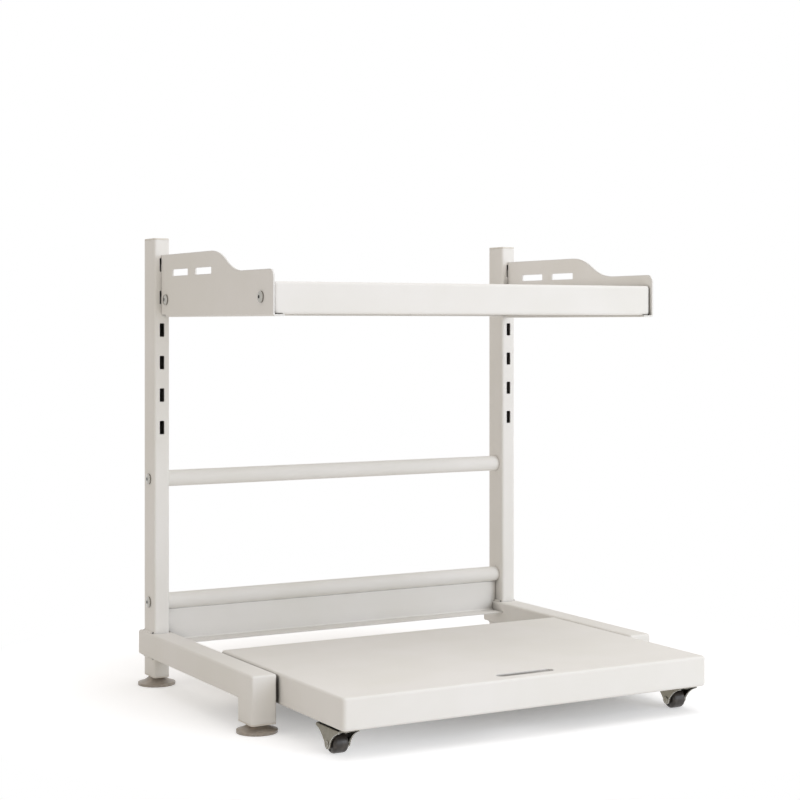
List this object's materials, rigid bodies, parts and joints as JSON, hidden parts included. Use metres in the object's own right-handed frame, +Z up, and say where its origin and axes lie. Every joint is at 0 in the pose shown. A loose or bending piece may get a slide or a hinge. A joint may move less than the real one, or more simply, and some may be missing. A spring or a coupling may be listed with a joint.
{
  "type": "kitchen storage rack",
  "caption": "Powder-coated steel worktop rack: slotted posts carry a hook-on shelf between side brackets, above a pull-out tray that rolls on casters.",
  "frame": {"origin": "floor level, middle of the footprint with the tray pulled out as pictured", "axes": "+X to the right seen from the front, +Y to the back, +Z up"},
  "size_m": [0.553, 0.4844, 0.551],
  "materials": {
    "powder_coat": "cream powder coat with a fine orange peel",
    "plated_steel": "zinc plated",
    "roller_plastic": "moulded, satin",
    "foot_rubber": "moulded, slightly translucent",
    "plug_plastic": "moulded, cream",
    "glide_nylon": "moulded, natural"
  },
  "bodies": {
    "frame": {"left_base": "powder_coat", "left_rail_plug": "plug_plastic", "left_post": "powder_coat", "left_post_cap": "plug_plastic", "left_front_leg_plug": "plug_plastic", "left_front_foot": "foot_rubber", "left_rear_leg_plug": "plug_plastic", "left_rear_foot": "foot_rubber", "right_base": "powder_coat", "right_rail_plug": "plug_plastic", "right_post": "powder_coat", "right_post_cap": "plug_plastic", "right_front_leg_plug": "plug_plastic", "right_front_foot": "foot_rubber", "right_rear_leg_plug": "plug_plastic", "right_rear_foot": "foot_rubber", "upper_crossbar": "powder_coat", "lower_crossbar": "powder_coat", "crossbar_inserts": "plated_steel", "crossbar_screws": "plated_steel", "rear_apron": "powder_coat", "apron_screws": "plated_steel"},
    "shelf": {"upper_shelf": "powder_coat", "shelf_stiffener": "powder_coat", "left_bracket": "powder_coat", "right_bracket": "powder_coat", "shelf_screws": "plated_steel", "shelf_nuts": "plated_steel"},
    "tray": {"tray": "powder_coat", "tray_stiffener": "powder_coat", "tray_glides": "glide_nylon", "caster_rivets": "plated_steel", "left_front_caster_fork": "plated_steel", "left_front_caster_axle": "plated_steel", "left_rear_caster_fork": "plated_steel", "left_rear_caster_axle": "plated_steel", "right_front_caster_fork": "plated_steel", "right_front_caster_axle": "plated_steel", "right_rear_caster_fork": "plated_steel", "right_rear_caster_axle": "plated_steel"},
    "left_front_roller": {"left_front_caster_wheel": "roller_plastic"},
    "left_rear_roller": {"left_rear_caster_wheel": "roller_plastic"},
    "right_front_roller": {"right_front_caster_wheel": "roller_plastic"},
    "right_rear_roller": {"right_rear_caster_wheel": "roller_plastic"}
  },
  "joints": [
    {"name": "tray_slide", "type": "slide", "parent": "frame", "child": "tray", "axis": [0, -1, 0], "range_m": [-0.125, 0.14]},
    {"name": "shelf_lift", "type": "slide", "parent": "frame", "child": "shelf", "axis": [0, 0, 1], "range_m": [0, 0.007]},
    {"name": "left_front_roll", "type": "hinge", "parent": "tray", "child": "left_front_roller", "pos_m": [-0.2205, -0.20225, 0.0105], "axis": [1, 0, 0], "continuous": true},
    {"name": "left_rear_roll", "type": "hinge", "parent": "tray", "child": "left_rear_roller", "pos_m": [-0.2205, -0.00025, 0.0105], "axis": [1, 0, 0], "continuous": true},
    {"name": "right_front_roll", "type": "hinge", "parent": "tray", "child": "right_front_roller", "pos_m": [0.2205, -0.20225, 0.0105], "axis": [1, 0, 0], "continuous": true},
    {"name": "right_rear_roll", "type": "hinge", "parent": "tray", "child": "right_rear_roller", "pos_m": [0.2205, -0.00025, 0.0105], "axis": [1, 0, 0], "continuous": true}
  ],
  "couplings": [
    {"joint": "left_front_roll", "follows": "tray_slide", "rad_per_m": 95.238},
    {"joint": "left_rear_roll", "follows": "tray_slide", "rad_per_m": 95.238},
    {"joint": "right_front_roll", "follows": "tray_slide", "rad_per_m": 95.238},
    {"joint": "right_rear_roll", "follows": "tray_slide", "rad_per_m": 95.238}
  ]
}
